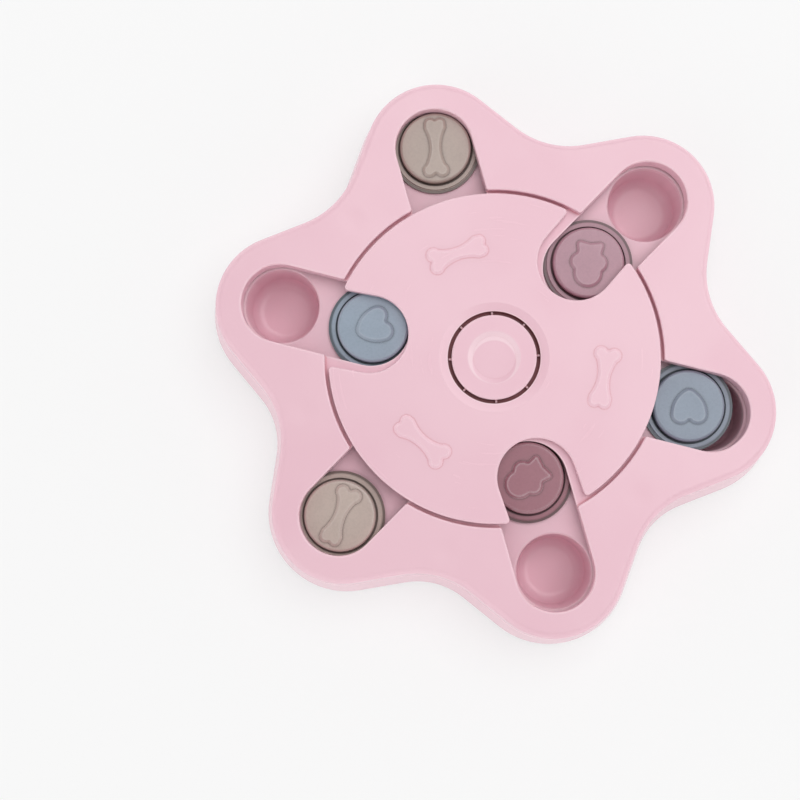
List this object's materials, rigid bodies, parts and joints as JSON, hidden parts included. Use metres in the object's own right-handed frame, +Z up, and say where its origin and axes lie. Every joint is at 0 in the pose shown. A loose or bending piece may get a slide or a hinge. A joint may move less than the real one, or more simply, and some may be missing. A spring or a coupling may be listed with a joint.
{
  "type": "slow feeder dog bowl",
  "caption": "Lobed puzzle feeder for dogs: food wells under pucks that slide in radial slots, round a turntable with notches, in a flared two-part shell on soft feet.",
  "frame": {"origin": "on the floor under the hub, at the middle of the ring of feet", "axes": "+Z up along the turntable's axis, +X through the lobe of heart_slider_1"},
  "size_m": [0.2582, 0.2332, 0.0374],
  "materials": {
    "pink_plastic": "fine satin",
    "blue_grey_plastic": "fine satin",
    "mauve_plastic": "fine satin",
    "taupe_plastic": "fine satin",
    "screw_steel": "zinc plated",
    "foot_rubber": "soft matt"
  },
  "bodies": {
    "housing": {"base_shell": "pink_plastic", "top_cover": "pink_plastic", "hub_cap": "pink_plastic", "hub_screw": "screw_steel", "cover_screws": "screw_steel", "food_cup_1": "pink_plastic", "food_cup_2": "pink_plastic", "food_cup_3": "pink_plastic", "food_cup_4": "pink_plastic", "food_cup_5": "pink_plastic", "food_cup_6": "pink_plastic", "foot_1": "foot_rubber", "foot_2": "foot_rubber", "foot_3": "foot_rubber", "foot_4": "foot_rubber", "foot_5": "foot_rubber", "foot_6": "foot_rubber"},
    "turntable": {"turntable": "pink_plastic"},
    "heart_slider_1": {"heart_slider_1": "blue_grey_plastic"},
    "face_slider_2": {"face_slider_2": "mauve_plastic"},
    "bone_slider_3": {"bone_slider_3": "taupe_plastic"},
    "heart_slider_4": {"heart_slider_4": "blue_grey_plastic"},
    "bone_slider_5": {"bone_slider_5": "taupe_plastic"},
    "face_slider_6": {"face_slider_6": "mauve_plastic"}
  },
  "joints": [
    {"name": "turntable_turn", "type": "hinge", "parent": "housing", "child": "turntable", "pos_m": [0, 0, 0.0343], "axis": [0, 0, 1], "continuous": true},
    {"name": "heart_slider_1_slide", "type": "slide", "parent": "housing", "child": "heart_slider_1", "axis": [1, 0, 0], "range_m": [-0.03251, 0.00971]},
    {"name": "face_slider_2_slide", "type": "slide", "parent": "housing", "child": "face_slider_2", "axis": [0.5, 0.866, 0], "range_m": [-0.00516, 0.03784]},
    {"name": "bone_slider_3_slide", "type": "slide", "parent": "housing", "child": "bone_slider_3", "axis": [-0.5, 0.866, 0], "range_m": [-0.04247, 0]},
    {"name": "heart_slider_4_slide", "type": "slide", "parent": "housing", "child": "heart_slider_4", "axis": [-1, 0, 0], "range_m": [-0.00043, 0.04238]},
    {"name": "bone_slider_5_slide", "type": "slide", "parent": "housing", "child": "bone_slider_5", "axis": [-0.5, -0.866, 0], "range_m": [-0.04168, 0.00142]},
    {"name": "face_slider_6_slide", "type": "slide", "parent": "housing", "child": "face_slider_6", "axis": [0.5, -0.866, 0], "range_m": [0, 0.0431]}
  ]
}
